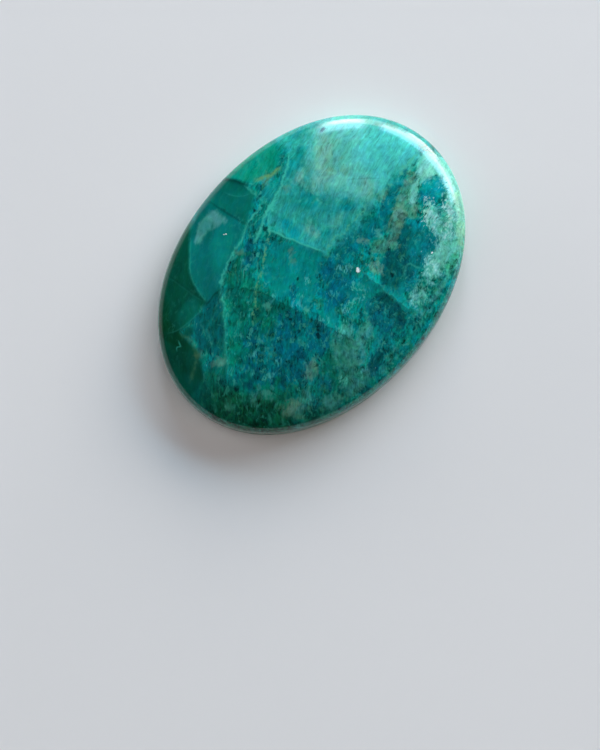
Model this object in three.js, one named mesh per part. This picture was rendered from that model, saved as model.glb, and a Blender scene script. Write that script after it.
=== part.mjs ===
// Polished shattuckite cabochon: one solid oval of blue-green stone, cut by hand.
// Millimetres, +Z up. The origin is the middle of the flat back, which rests on the surface,
// and +X runs along the oval's length.
//
// The section, from the back up: a flat ground back, a narrow bevel round its edge, a low girdle
// that leans in slightly, then a dome that rises steeply from the girdle and is nearly flat on top.

import * as THREE from "three";

// Driving dimensions
const LENGTH = 40; // oval, along X
const WIDTH = 29.2; // oval, along Y
const THICKNESS = 5.2; // flat back to the crown of the dome

// Edge of the stone
const BACK_BEVEL = 0.45; // width and height of the bevel round the back
const GIRDLE_TOP = 1.6; // height where the girdle ends and the dome begins
const GIRDLE_LEAN = 0.12; // how far the girdle leans in over its height

// Dome: a superellipse of this power has a steep shoulder and a low crown
const DOME_POWER = 2.5;
const DOME_STEPS = 17; // rings of facets from the girdle to the crown
const SIDES = 96; // facets round the oval

// A hand-cut oval departs a little from a true ellipse: [waves round the edge, cosine, sine]
const OUTLINE_WAVES = [
  [3, -0.0013, 0.0008],
  [4, -0.005, 0.0014],
];
// The shoulder keeps one width all round, and shrinks towards the centre only inside this share
const CROWN_SHARE = 0.4;

const RADIUS = WIDTH / 2; // the section is drawn across the stone's width

function outlinePoint(angle) {
  let wave = 1;
  for (const [count, cosine, sine] of OUTLINE_WAVES)
    wave += cosine * Math.cos(count * angle) + sine * Math.sin(count * angle);
  const x = (LENGTH / 2) * Math.cos(angle) * wave;
  const y = (WIDTH / 2) * Math.sin(angle) * wave;
  return new THREE.Vector2(x, y);
}

function outlineNormal(angle) {
  const step = 1e-3;
  const along = outlinePoint(angle + step).sub(outlinePoint(angle - step));
  return new THREE.Vector2(along.y, -along.x).normalize();
}

// Height of the dome where it is drawn in by this much from the girdle's top edge
function domeHeight(inset, halfWidth) {
  const share = Math.min(1, inset / halfWidth);
  const rise = (1 - (1 - share) ** DOME_POWER) ** (1 / DOME_POWER);
  return GIRDLE_TOP + (THICKNESS - GIRDLE_TOP) * rise;
}

// Half of the section, from the middle of the back round to the crown, as (radius, height)
function halfSection() {
  const points = [
    new THREE.Vector2(0, 0),
    new THREE.Vector2(RADIUS - BACK_BEVEL, 0),
    new THREE.Vector2(RADIUS, BACK_BEVEL),
  ];
  const domeRadius = RADIUS - GIRDLE_LEAN;
  for (let i = 0; i < DOME_STEPS; i++) {
    // steps are close together on the shoulder and wide apart on the crown
    const inset = domeRadius * (i / DOME_STEPS) ** 2;
    points.push(
      new THREE.Vector2(domeRadius - inset, domeHeight(inset, domeRadius)),
    );
  }
  points.push(new THREE.Vector2(0, THICKNESS));
  return points;
}

// Moves a point of the round turned form to its place in the oval
function toOval(radius, angle) {
  const share = radius / RADIUS;
  const edge = outlinePoint(angle);
  const inward = outlineNormal(angle).multiplyScalar(radius - RADIUS);
  const drawnIn = edge.clone().add(inward);
  const scaled = edge.clone().multiplyScalar(share);
  const blend = THREE.MathUtils.smoothstep(share, CROWN_SHARE, 1);
  return scaled.lerp(drawnIn, blend);
}

function cabochonGeometry() {
  const geometry = new THREE.LatheGeometry(halfSection(), SIDES);
  geometry.rotateX(Math.PI / 2); // the lathe turns about Y; the stone stands along Z
  const place = geometry.getAttribute("position");
  for (let i = 0; i < place.count; i++) {
    const radius = Math.hypot(place.getX(i), place.getY(i));
    const angle = Math.atan2(place.getY(i), place.getX(i));
    const oval = toOval(radius, angle);
    place.setXYZ(i, oval.x, oval.y, place.getZ(i));
  }
  // the waves leave the oval a hair off centre
  geometry.computeBoundingBox();
  const middle = geometry.boundingBox.getCenter(new THREE.Vector3());
  geometry.translate(-middle.x, -middle.y, 0);
  geometry.computeVertexNormals();
  return geometry;
}

const polishedStone = new THREE.MeshStandardMaterial({
  color: 0x1f8a86,
  roughness: 0.12,
  metalness: 0,
});

const cabochon = new THREE.Mesh(cabochonGeometry(), polishedStone);
cabochon.name = "cabochon";

const part = new THREE.Group();
part.add(cabochon);

export default part;
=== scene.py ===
import math
import bmesh
import bpy
import numpy as np
from mathutils import Matrix, Vector


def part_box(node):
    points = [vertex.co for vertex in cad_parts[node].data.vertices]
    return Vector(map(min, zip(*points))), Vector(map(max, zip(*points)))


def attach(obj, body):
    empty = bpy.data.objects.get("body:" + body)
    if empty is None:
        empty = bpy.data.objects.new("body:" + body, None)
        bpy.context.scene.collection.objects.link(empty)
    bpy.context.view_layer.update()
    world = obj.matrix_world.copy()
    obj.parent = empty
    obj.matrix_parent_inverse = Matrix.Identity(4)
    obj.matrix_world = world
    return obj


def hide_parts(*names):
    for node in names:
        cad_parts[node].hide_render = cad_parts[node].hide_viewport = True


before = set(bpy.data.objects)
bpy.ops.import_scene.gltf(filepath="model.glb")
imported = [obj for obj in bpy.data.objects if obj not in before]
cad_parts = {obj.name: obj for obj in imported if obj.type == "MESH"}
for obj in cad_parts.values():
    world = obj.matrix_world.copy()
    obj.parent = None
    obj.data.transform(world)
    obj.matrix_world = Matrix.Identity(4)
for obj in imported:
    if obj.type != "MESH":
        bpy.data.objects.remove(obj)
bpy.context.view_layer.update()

# A polished oval cabochon of shattuckite, lying on its flat back on a pale floor.
# Blender works in metres; the stone's own sizes and pattern are written in millimetres.
mm = 0.001


# Small helpers for materials

def feed(tree, socket, value):
    if isinstance(value, bpy.types.NodeSocket):
        tree.links.new(value, socket)
    elif value is not None:
        socket.default_value = value


def calc(tree, operation, a, b=None, c=None, clamp=False):
    node = tree.nodes.new("ShaderNodeMath")
    node.operation = operation
    node.use_clamp = clamp
    for socket, value in zip(node.inputs, (a, b, c)):
        feed(tree, socket, value)
    return node.outputs[0]


def srgb(red, green, blue):
    # a colour as a picture shows it, 0 to 255, turned to Blender's linear values
    def linear(level):
        share = level / 255
        return share / 12.92 if share <= 0.04045 else ((share + 0.055) / 1.055) ** 2.4
    return (linear(red), linear(green), linear(blue), 1.0)


# Camera

camera = {
    "lens": 67.2,  # mm
    "azimuth": -49.94,  # degrees; it turns the oval's length to the picture's upper right
    "elevation": 82.0,  # degrees above the floor
    "aim": (-9.507, -6.212),  # mm, the point of the floor in the middle of the picture
    "distance": 155.68,  # mm
    "sensor": 36,  # mm wide
    "clip": (0.01, 20),  # metres
}


def placeCamera():
    azimuth = math.radians(camera["azimuth"])
    elevation = math.radians(camera["elevation"])
    level = math.cos(elevation)
    back = Vector((math.sin(azimuth) * level, -math.cos(azimuth) * level, math.sin(elevation)))
    data = bpy.data.cameras.new("camera")
    data.lens = camera["lens"]
    data.sensor_width = camera["sensor"]
    data.clip_start, data.clip_end = camera["clip"]
    eye = bpy.data.objects.new("camera", data)
    eye.location = (Vector((*camera["aim"], 0)) + back * camera["distance"]) * mm
    eye.rotation_euler = (-back).to_track_quat("-Z", "Y").to_euler()
    bpy.context.scene.collection.objects.link(eye)
    bpy.context.scene.camera = eye


# Mesh of the stone

stone = {
    "length": 40.0,  # mm, along X
    "width": 29.2,
    "thickness": 5.2,
    "backBevel": 0.45,  # width and height of the bevel round the back
    "girdleTop": 1.6,  # height where the dome begins
    "girdleLean": 0.03,
    "domePower": 2.5,  # superellipse of the dome: steep shoulder, low crown
    "outlineWaves": [(3, -0.0013, 0.0008), (4, -0.005, 0.0014)],  # waves round, cosine, sine
    "crownShare": 0.4,  # inside this share of the radius the shoulder's width shrinks to the centre
    "around": 500,  # faces round the stone
    "slices": 20,  # equal parts that they are made in
    "domeRings": 110,  # rings of faces
    "backRings": 48,
    "girdleRings": 5,
    "edgeRounding": 0.1,  # mm, wear on the edges of the bevel
    "edgeSegments": 3,
    "weld": 5e-4,  # mm, doubled points closer than this are merged
}


def domeHeight(radius):
    # height of the dome over a point of the round form
    share = np.clip(radius / (stone["width"] / 2 - stone["girdleLean"]), 0, 1)
    rise = (1 - share ** stone["domePower"]) ** (1 / stone["domePower"])
    return stone["girdleTop"] + (stone["thickness"] - stone["girdleTop"]) * rise


def halfSection():
    # from the middle of the back round to the crown, as radius and height
    radius = stone["width"] / 2
    flat = radius - stone["backBevel"]
    rings = stone["backRings"]
    points = [(flat * i / rings, 0.0) for i in range(rings + 1)]
    points.append((radius, stone["backBevel"]))
    rise = stone["girdleTop"] - stone["backBevel"]
    for i in range(1, stone["girdleRings"] + 1):
        share = i / stone["girdleRings"]
        points.append((radius - stone["girdleLean"] * share, stone["backBevel"] + rise * share))
    domeRadius = radius - stone["girdleLean"]
    for i in range(1, stone["domeRings"] + 1):
        inset = 1 - math.cos(math.pi / 2 * i / stone["domeRings"])
        r = domeRadius * (1 - inset)
        points.append((r, domeHeight(r)))
    return points


def turnStone():
    # one slice is spun and copied round, which is much quicker than a full spin
    bm = bmesh.new()
    line = [bm.verts.new((r, 0, z)) for r, z in halfSection()]
    edges = [bm.edges.new(pair) for pair in zip(line, line[1:])]
    slices = stone["slices"]
    bmesh.ops.spin(bm, geom=line + edges, cent=(0, 0, 0), axis=(0, 0, 1),
                   angle=math.tau / slices, steps=stone["around"] // slices)
    first = bm.verts[:] + bm.edges[:] + bm.faces[:]
    for i in range(1, slices):
        copied = bmesh.ops.duplicate(bm, geom=first)["geom"]
        verts = [part for part in copied if isinstance(part, bmesh.types.BMVert)]
        bmesh.ops.rotate(bm, verts=verts, cent=(0, 0, 0),
                         matrix=Matrix.Rotation(math.tau * i / slices, 3, "Z"))
    bmesh.ops.remove_doubles(bm, verts=bm.verts, dist=stone["weld"])
    return bm


def wearEdges(bm):
    # the two edges of the bevel round the back are worn a little round
    radius = stone["width"] / 2
    corners = [(radius - stone["backBevel"], 0.0), (radius, stone["backBevel"])]
    nearly = 1e-3  # mm

    def onCorner(vert):
        r = math.hypot(vert.co.x, vert.co.y)
        return any(math.hypot(r - a, vert.co.z - b) < nearly for a, b in corners)
    rims = [e for e in bm.edges if onCorner(e.verts[0]) and onCorner(e.verts[1])
            and abs(e.verts[0].co.z - e.verts[1].co.z) < nearly]
    bmesh.ops.bevel(bm, geom=rims, offset=stone["edgeRounding"], offset_type="OFFSET",
                    affect="EDGES", segments=stone["edgeSegments"], profile=0.5, material=-1,
                    clamp_overlap=True)


def outlinePoint(angle):
    wave = np.ones_like(angle)
    for count, cosine, sine in stone["outlineWaves"]:
        wave += cosine * np.cos(count * angle) + sine * np.sin(count * angle)
    return np.stack([stone["length"] / 2 * np.cos(angle) * wave,
                     stone["width"] / 2 * np.sin(angle) * wave], -1)


def outlineNormal(angle):
    step = 1e-3  # radians
    along = outlinePoint(angle + step) - outlinePoint(angle - step)
    normal = np.stack([along[:, 1], -along[:, 0]], -1)
    return normal / np.linalg.norm(normal, axis=1, keepdims=True)


def toOval(points):
    # the round turned form is moved out to the oval, with the shoulder's width kept all round
    radius = np.hypot(points[:, 0], points[:, 1])
    angle = np.arctan2(points[:, 1], points[:, 0])
    share = radius / (stone["width"] / 2)
    edge = outlinePoint(angle)
    drawnIn = edge + outlineNormal(angle) * (radius - stone["width"] / 2)[:, None]
    t = np.clip((share - stone["crownShare"]) / (1 - stone["crownShare"]), 0, 1)
    blend = (t * t * (3 - 2 * t))[:, None]
    flat = edge * share[:, None] * (1 - blend) + drawnIn * blend
    return np.column_stack([flat, points[:, 2]])


def fitToFrame(points):
    # the oval takes exactly the box of the solid that it stands for
    low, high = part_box("cabochon")
    for axis in range(3):
        least, most = points[:, axis].min(), points[:, axis].max()
        scale = (high[axis] - low[axis]) / mm / (most - least)
        points[:, axis] = low[axis] / mm + (points[:, axis] - least) * scale
    return points


def buildStone():
    bm = turnStone()
    wearEdges(bm)
    bmesh.ops.recalc_face_normals(bm, faces=bm.faces)
    for face in bm.faces:
        face.smooth = True
    mesh = bpy.data.meshes.new("polishedStone")
    bm.to_mesh(mesh)
    bm.free()
    points = np.empty(len(mesh.vertices) * 3, np.float32)
    mesh.vertices.foreach_get("co", points)
    points = points.reshape(-1, 3).astype(float)
    # before it is made oval: how deep each point lies under the dome, and how far in from its rim
    radius = np.hypot(points[:, 0], points[:, 1])
    depth = domeHeight(radius) - points[:, 2]
    depth = np.where(depth < 1e-3, 0.0, depth)  # the dome itself, apart from rounding
    inset = stone["width"] / 2 - stone["girdleLean"] - radius
    points = fitToFrame(toOval(points))
    mesh.vertices.foreach_set("co", (points * mm).astype(np.float32).ravel())
    mesh.update()
    writePattern(mesh, points, depth)
    writeAttribute(mesh, "rim", rimWearAndSheenField(points, inset))
    piece = bpy.data.objects.new("polished_stone", mesh)
    bpy.context.scene.collection.objects.link(piece)
    return piece


# Pattern of the stone: places are millimetres on the face, x along the oval and y across it

pattern = {
    "fibreCentre": (26.0, -51.0),  # the fibres lie on rings round this point
    "fibreRadius": 57.0,  # distance from there to the middle of the stone
    "dip": (0.6, -0.4),  # sideways lean of every layer and crack for each millimetre of depth
    "textureTop": 3.2,  # below this height, on the steep shoulder, the textures also run downwards
}

# What a mineral has unless its own line says otherwise. Its edge lies where its field is a half.
# ragged (by mottles about 1 mm across), fine (by crumbs) and crisp (by fibres) break the edge up,
# and edge softens it. cover is how much it hides of what lies under it, grain how lively its
# crumbs and threads are, and streak the same for its fibres. Clouds turn it to the second colour.
mineralStart = {"cover": 1.0, "edge": 0.45, "ragged": 0.7, "fine": 0.35, "grain": 0.9, "streak": 0.5,
                "crisp": 0.0, "patches": [], "outline": [], "outlineSoftness": 0.8}

clearStone = {"ragged": 0.1, "fine": 0.1, "grain": 0.12, "streak": 0.2}  # the smooth, clear zones

# Each mineral is laid over the ones before it. A patch is x, y, half length, half width, turn in
# degrees and strength. An outline is a zone's corners, and its softness is in millimetres.
# Besides the stone's own zones, the minerals grow lighter towards +X and darker towards -X: part of
# the fall-off of light across the stone is painted light and shade
minerals = {
    "openTeal": {
        "colour": srgb(4, 143, 136), "second": srgb(0, 132, 126), "grain": 0.28, "ragged": 0.8,
        "patches": [(-2.0, 3.4, 2.4, 2.0, 30, 0.85), (0.2, 1.4, 1.8, 1.5, 30, 0.9),
                    (-3.8, 1.0, 1.6, 1.4, 30, 0.8), (-2.6, -1.4, 2.0, 1.2, 25, 0.8),
                    (0.5, -0.3, 1.5, 1.4, 0, 1.0), (-3.6, -5.0, 1.2, 1.4, 30, 0.8),
                    (0.9, -4.6, 0.8, 2.0, -20, 0.8),
                    (1.6, -6.2, 1.6, 1.4, 30, 0.8), (-1.6, -10.6, 1.8, 0.9, 30, 0.7),
                    (3.2, -9.5, 0.8, 3.0, 0, 0.8), (-3.4, -5.0, 1.0, 0.8, 30, 0.7)],
    },
    "greenTeal": {
        "colour": srgb(0, 122, 102), "second": srgb(0, 106, 90), "grain": 0.7,
        "patches": [(-8.0, 3.2, 2.8, 2.0, 35, 1.0), (-5.4, 5.8, 2.8, 1.1, 20, 1.0),
                    (-12.0, 1.2, 2.4, 1.2, 35, 0.9), (-7.0, 1.0, 1.8, 1.2, 30, 0.7),
                    (-16.6, 0.2, 2.4, 1.6, 30, 0.8), (-12.8, -6.4, 2.2, 1.2, 30, 0.7),
                    (-10.0, -3.6, 5.6, 3.4, 30, 1.0), (-7.0, -9.6, 5.0, 2.2, 25, 0.9)],
    },
    "farGreen": {
        "colour": srgb(12, 104, 76), "second": srgb(4, 78, 56), "grain": 1.0,
        "patches": [(-17.6, -3.4, 2.8, 4.0, 10, 1.0), (-15.6, -7.4, 2.4, 2.4, -30, 0.9),
                    (-11.6, -11.2, 2.6, 1.2, -30, 0.7)],
    },
    "deepBlue": {
        "colour": srgb(0, 101, 110), "second": srgb(0, 115, 118), "ragged": 1.6, "fine": 0.8,
        "edge": 0.3,
        "patches": [(-7.6, -3.6, 3.4, 2.6, 28, 1.0), (-12.2, -3.3, 2.1, 1.9, 35, 0.8),
                    (1.3, -1.8, 1.3, 1.4, 0, 1.0), (-5.6, -5.6, 1.8, 1.3, 30, 1.1),
                    (0.8, -9.0, 1.6, 2.2, -20, 1.2), (-3.6, -12.0, 2.6, 0.8, 10, 1.0),
                    (-4.4, 5.6, 1.2, 0.7, 20, 0.9), (-10.2, 0.2, 2.0, 1.3, 35, 0.8),
                    (-8.8, -9.2, 1.4, 1.0, 30, 0.8), (-2.4, 6.6, 1.3, 0.7, -20, 0.9),
                    (-3.6, -0.3, 1.4, 0.6, 25, 0.7), (1.0, -1.7, 0.7, 1.0, -30, 0.7),
                    (-10.4, -6.6, 1.8, 1.2, 30, 0.7)],
    },
    "bluePool": {
        "colour": srgb(0, 103, 119), "second": srgb(0, 113, 125), "ragged": 1.1, "fine": 0.6,
        "edge": 0.5, "grain": 0.6, "cover": 0.9,
        "outline": [(0.5, -0.6), (1.3, -1.6), (1.7, -3.2), (1.2, -4.6), (0.0, -5.3), (-1.6, -5.4),
                    (-2.6, -4.4), (-1.8, -3.0), (-1.0, -1.8), (-0.1, -1.0)],
        "outlineSoftness": 0.7,
    },
    "leftCell": {
        "colour": srgb(0, 101, 97), "second": srgb(0, 92, 93), "ragged": 0.5, "fine": 0.4,
        "edge": 0.5, "grain": 0.5, "cover": 0.9,
        "outline": [(-9.0, 5.8), (-10.4, 6.0), (-13.2, 5.9), (-14.5, 4.6), (-14.7, 3.0),
                    (-13.9, 1.2), (-12.9, 1.6), (-11.0, 3.2), (-9.4, 4.9)],
        "outlineSoftness": 0.6,
    },
    "clearBlue": {
        "colour": srgb(0, 122, 126), "second": srgb(0, 110, 112), "ragged": 1.0, "edge": 0.25,
        "grain": 0.6,
        "patches": [(9.4, -6.9, 2.3, 2.6, -25, 1.1), (4.8, -1.9, 2.6, 1.2, -8, 1.1),
                    (7.6, -2.0, 1.8, 1.0, -40, 0.9), (10.6, -1.9, 1.3, 0.6, 20, 1.0),
                    (14.7, -4.2, 1.6, 1.0, 15, 1.0), (11.6, -1.4, 1.8, 0.8, 25, 0.9),
                    (9.6, -8.6, 1.8, 1.2, 20, 0.9), (5.0, -8.6, 1.6, 1.5, 0, 1.0),
                    (14.4, -0.9, 1.4, 0.5, 30, 0.9), (2.0, -3.4, 0.9, 2.2, 0, 0.8)],
    },
    "brightPool": {
        "colour": srgb(0, 146, 150), "second": srgb(0, 130, 138), "ragged": 1.0, "fine": 0.6,
        "edge": 0.35, "grain": 0.5,
        "patches": [(15.2, -4.5, 2.0, 1.3, 15, 1.3), (13.9, -0.9, 0.9, 0.4, 30, 1.0)],
    },
    "darkPool": {
        "colour": srgb(0, 84, 88), "second": srgb(0, 98, 96), "ragged": 1.1, "edge": 0.4,
        "grain": 0.6,
        "patches": [(6.4, -6.6, 1.8, 1.5, 5, 1.0), (4.6, -7.3, 1.2, 1.1, 10, 1.0),
                    (9.4, -5.1, 1.3, 1.0, 0, 1.0), (2.3, -8.9, 0.7, 1.8, 0, 1.0),
                    (9.5, -2.2, 1.2, 0.5, 20, 0.6), (5.9, -8.2, 1.0, 0.8, 0, 0.8),
                    (-3.6, -11.9, 1.8, 0.6, 5, 1.0), (1.2, -11.3, 1.2, 0.8, 20, 0.9),
                    (-14.3, -2.6, 1.3, 1.1, 0, 0.9)],
    },
    "oliveCloud": {
        "colour": srgb(68, 134, 106), "second": srgb(112, 148, 122), "cover": 0.6,
        "ragged": 1.4, "fine": 0.8, "edge": 0.55, "grain": 0.55,
        "patches": [(13.0, -2.5, 3.2, 0.7, 22, 1.0), (9.8, -3.8, 2.4, 0.8, 24, 1.0),
                    (11.4, -0.7, 1.8, 0.5, 5, 0.9), (6.6, -4.4, 1.5, 0.7, -25, 1.0),
                    (5.6, -2.4, 0.9, 0.5, -45, 0.62), (-8.8, -7.3, 1.1, 0.8, 20, 1.0),
                    (-13.0, -8.6, 1.8, 1.2, -25, 1.0), (-0.7, 2.3, 1.2, 0.5, 45, 0.9),
                    (-14.6, 1.0, 0.9, 0.5, -40, 0.9), (4.3, -5.5, 0.8, 1.1, 0, 0.8),
                    (11.8, -4.6, 1.0, 0.7, 30, 0.8)],
    },
    "greyCloud": {
        "colour": srgb(72, 148, 134), "second": srgb(34, 124, 106), "cover": 0.6,
        "ragged": 1.5, "fine": 0.9, "edge": 0.5, "grain": 0.7,
        "patches": [(-4.4, -7.8, 2.4, 1.2, 25, 1.0), (-5.6, -10.0, 2.0, 1.0, 25, 0.9),
                    (-10.2, -11.0, 2.0, 1.0, -20, 0.8), (-2.0, -9.4, 1.8, 0.8, 30, 0.8),
                    (-17.4, -2.6, 0.9, 0.9, 0, 0.9), (-11.2, -8.4, 1.0, 0.8, 40, 0.8),
                    (-2.6, -12.9, 2.0, 0.6, 8, 0.7), (-7.0, -12.2, 1.4, 0.7, -10, 0.8),
                    (-14.8, -4.6, 1.2, 0.8, 30, 0.6), (3.4, -12.6, 2.4, 0.9, 12, 0.7),
                    (-5.9, -11.7, 1.2, 0.7, -10, 1.0), (7.3, -12.0, 1.5, 0.6, 15, 1.0)],
    },
    "mint": {
        "colour": srgb(126, 206, 188), "second": srgb(102, 192, 172), "cover": 0.9, "grain": 0.25,
        "ragged": 0.8, "fine": 0.6, "crisp": 0.9, "edge": 0.6, "streak": 1.0,
        "patches": [(15.6, -8.0, 3.2, 1.35, 45, 1.15), (12.6, -9.6, 2.8, 1.3, 30, 1.1),
                    (8.7, -10.0, 1.9, 1.1, 15, 0.9), (12.7, -6.5, 1.6, 0.9, 60, 0.95),
                    (16.6, -2.4, 1.6, 0.9, 20, 1.0),
                    (5.0, -10.9, 1.4, 1.2, 0, 0.7), (17.4, -2.4, 1.0, 1.4, 0, 0.9),
                    (14.0, -2.9, 0.9, 0.4, 20, 0.9), (18.4, -4.5, 1.2, 2.4, -10, 0.9),
                    (12.9, -3.5, 0.9, 0.6, 30, 0.72)],
    },
    "paleGreen": {
        "colour": srgb(140, 202, 162), "second": srgb(118, 190, 154), "ragged": 0.8, "fine": 0.6,
        "grain": 0.3, "cover": 0.8, "edge": 0.6,
        "patches": [(13.8, -9.9, 2.4, 0.7, 38, 1.0), (16.6, -7.4, 1.6, 0.6, 55, 0.8)],
    },
    "rimGreen": {
        "colour": srgb(24, 138, 112), "second": srgb(60, 160, 128), "ragged": 0.8,
        "patches": [(10.2, -11.4, 2.0, 0.7, 20, 0.9), (13.6, -11.0, 2.4, 0.8, 35, 0.7)],
    },
    "lightTeal": {
        "colour": srgb(42, 154, 144), "second": srgb(28, 144, 136), "ragged": 0.4, "grain": 0.4,
        "streak": 0.9,
        "outline": [(8.6, 10.4), (5.0, 8.7), (2.4, 8.0), (0.2, 6.3), (0.35, 4.8), (1.1, 2.6),
                    (2.0, -0.3), (5.0, -0.8), (8.0, -1.1), (11.5, -0.7), (13.2, -1.0), (17.0, -0.4),
                    (22.0, 0.5), (20.0, 8.0), (14.0, 13.0), (9.0, 14.5), (8.4, 12.0)],
    },
    "paleTeal": {
        "colour": srgb(104, 196, 182), "second": srgb(88, 186, 172), "ragged": 0.6, "grain": 0.25,
        "streak": 1.0, "edge": 0.8, "cover": 0.9,
        "patches": [(11.4, 6.0, 4.6, 3.2, 20, 1.1), (10.6, 1.6, 2.0, 2.2, 0, 0.8),
                    (14.6, 8.0, 3.0, 2.0, -35, 0.8), (5.3, 1.1, 1.2, 0.6, 0, 0.62)],
    },
    "brightTeal": {
        "colour": srgb(84, 204, 196), "second": srgb(74, 192, 184), "ragged": 0.4, "fine": 0.2,
        "grain": 0.2, "streak": 1.0, "edge": 0.7, "cover": 0.8,
        "patches": [(14.6, 3.2, 3.2, 2.6, 10, 1.0), (16.6, 0.6, 2.0, 2.0, 0, 1.0),
                    (12.4, 0.4, 1.6, 0.7, 10, 0.8)],
    },
    "greenishTeal": {
        "colour": srgb(0, 136, 136), "second": srgb(14, 146, 138), "ragged": 0.8, "grain": 0.4,
        "streak": 1.0, "cover": 0.95, "edge": 0.4,
        "patches": [(5.4, 5.0, 1.8, 1.2, -15, 1.0), (1.5, 4.4, 1.0, 2.2, -20, 0.8),
                    (7.7, 1.5, 1.0, 1.0, 0, 0.9), (3.6, 1.2, 0.9, 0.7, 0, 0.8),
                    (8.2, 9.2, 2.4, 0.7, 10, 0.9), (3.6, 9.0, 1.6, 0.8, 0, 0.9)],
    },
    "frost": {
        "colour": srgb(54, 170, 160), "second": srgb(84, 188, 178), "ragged": 0.9, "fine": 1.2,
        "crisp": 1.5, "edge": 0.4, "cover": 0.6, "grain": 0.6,
        "patches": [(-0.9, -3.6, 0.7, 0.5, 0, 0.7), (2.1, -3.0, 0.5, 1.2, 35, 0.8),
                    (1.3, -5.2, 0.6, 1.2, 20, 0.7), (-4.0, -5.0, 0.9, 0.6, 0, 0.8),
                    (-1.6, -0.6, 0.8, 0.5, 30, 0.6), (-1.4, -5.8, 0.8, 0.6, 0, 0.7),
                    (0.2, -6.2, 0.7, 0.5, 0, 0.7), (-8.7, 1.8, 0.5, 0.4, 0, 0.7),
                    (-5.6, 1.0, 0.8, 0.4, 30, 0.7), (-4.0, -1.4, 1.0, 0.7, 30, 0.7),
                    (-11.4, -1.3, 0.6, 0.5, 0, 0.7), (-10.3, -3.9, 0.7, 0.5, 0, 0.7),
                    (-13.0, -2.6, 0.6, 0.4, 0, 0.7), (-12.4, -4.3, 0.6, 0.5, 0, 0.7),
                    (-11.6, -8.9, 0.9, 0.5, -20, 0.7), (-7.4, -10.4, 0.9, 0.6, 0, 0.6),
                    (-3.4, -7.0, 1.0, 0.6, 25, 0.7), (12.3, -7.0, 1.2, 0.7, 60, 0.8),
                    (13.6, -5.4, 0.9, 0.6, 20, 0.8), (8.5, -9.6, 1.3, 0.8, 10, 0.7),
                    (15.2, -8.6, 1.4, 0.6, 45, 0.6), (-5.4, -11.6, 0.8, 0.5, 0, 0.6)],
    },
    "mintSpecks": {
        "colour": srgb(24, 128, 112), "second": srgb(60, 158, 140), "ragged": 0.8, "fine": 0.9,
        "crisp": 2.0, "edge": 0.3, "cover": 0.6, "grain": 0.6,
        "patches": [(12.8, -7.6, 1.6, 1.0, 60, 0.66), (14.6, -7.6, 2.0, 0.9, 45, 0.66),
                    (12.2, -9.4, 2.0, 0.9, 30, 0.62)],
    },
    "whiteSpecks": {
        "colour": srgb(206, 234, 226), "second": srgb(170, 220, 208), "ragged": 0.8, "fine": 0.8,
        "crisp": 1.5, "edge": 0.3, "cover": 0.42, "grain": 0.3,
        "patches": [(12.2, -6.6, 1.3, 0.9, 60, 0.64), (13.5, -5.2, 1.2, 0.7, 30, 0.64),
                    (15.0, -7.0, 1.6, 0.7, 45, 0.62), (8.5, -9.7, 1.3, 0.9, 10, 0.64),
                    (12.8, -8.8, 1.6, 0.7, 30, 0.6)],
    },
    "warmGrey": {
        "colour": srgb(116, 174, 150), "second": srgb(98, 172, 154), "ragged": 0.9, "fine": 0.5,
        "grain": 0.4, "streak": 1.0, "cover": 0.75, "edge": 0.8,
        "patches": [(9.0, 6.0, 3.0, 1.4, 20, 0.95), (11.6, 8.0, 1.8, 0.9, 0, 0.8),
                    (3.0, 2.6, 0.8, 1.4, -20, 0.7), (6.8, 7.6, 1.2, 0.6, 15, 0.7),
                    (10.6, 1.4, 1.4, 1.6, 20, 0.7)],
    },
    "emerald": {
        "colour": srgb(0, 128, 106), "second": srgb(12, 142, 118), "ragged": 0.3, "fine": 0.2,
        "grain": 0.3, "streak": 0.6,
        "outline": [(1.7, 15.0), (2.3, 12.2), (2.5, 11.4), (4.2, 10.8), (5.4, 10.2), (7.0, 10.4),
                    (7.8, 10.9), (8.4, 12.0), (8.4, 16.0)],
        "outlineSoftness": 0.7,
    },
    "darkCell": {
        **clearStone, "colour": srgb(0, 104, 93), "second": srgb(0, 96, 84),
        "outline": [(-1.5, 15.0), (-1.5, 13.5), (-1.3, 11.0), (-1.0, 8.4), (0.2, 9.1), (2.2, 10.0),
                    (2.4, 12.0), (1.8, 15.0)],
        "outlineSoftness": 0.4,
    },
    "clearTeal": {
        **clearStone, "colour": srgb(0, 105, 100), "second": srgb(0, 98, 93),
        "outline": [(-1.5, 15.0), (-6.0, 12.6), (-9.05, 9.85), (-10.0, 7.9), (-10.4, 6.2),
                    (-8.2, 6.1), (-6.6, 7.0), (-4.0, 7.7), (-1.4, 8.3), (-1.3, 11.0), (-1.5, 13.5)],
        "outlineSoftness": 0.35,
    },
    # painted glow: lighter teal standing in for light held inside the clear, translucent zone
    "clearGlow": {
        **clearStone, "colour": srgb(0, 126, 116), "second": srgb(0, 120, 110), "edge": 0.8,
        "patches": [(-3.8, 9.6, 2.4, 1.3, 20, 1.0), (-5.8, 8.2, 1.8, 0.8, 20, 0.7)],
    },
    "darkGreen": {
        **clearStone, "colour": srgb(0, 84, 64), "second": srgb(0, 76, 58),
        "patches": [(-14.2, 5.7, 1.1, 0.7, 0, 0.85)],
        "outline": [(-1.5, 16.0), (-6.0, 12.6), (-9.05, 9.85), (-10.05, 7.9), (-10.4, 6.2),
                    (-12.5, 6.3), (-14.8, 6.4), (-15.0, 3.5), (-17.0, 1.0), (-22.0, 1.0),
                    (-18.0, 12.0)],
        "outlineSoftness": 0.4,
    },
    # painted glow: lighter green in the dark cell and along the far left, standing in for light
    # inside the translucent stone
    "cellGlow": {
        **clearStone, "colour": srgb(0, 108, 92), "second": srgb(0, 100, 84), "ragged": 0.2,
        "cover": 0.7, "edge": 0.6,
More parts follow.
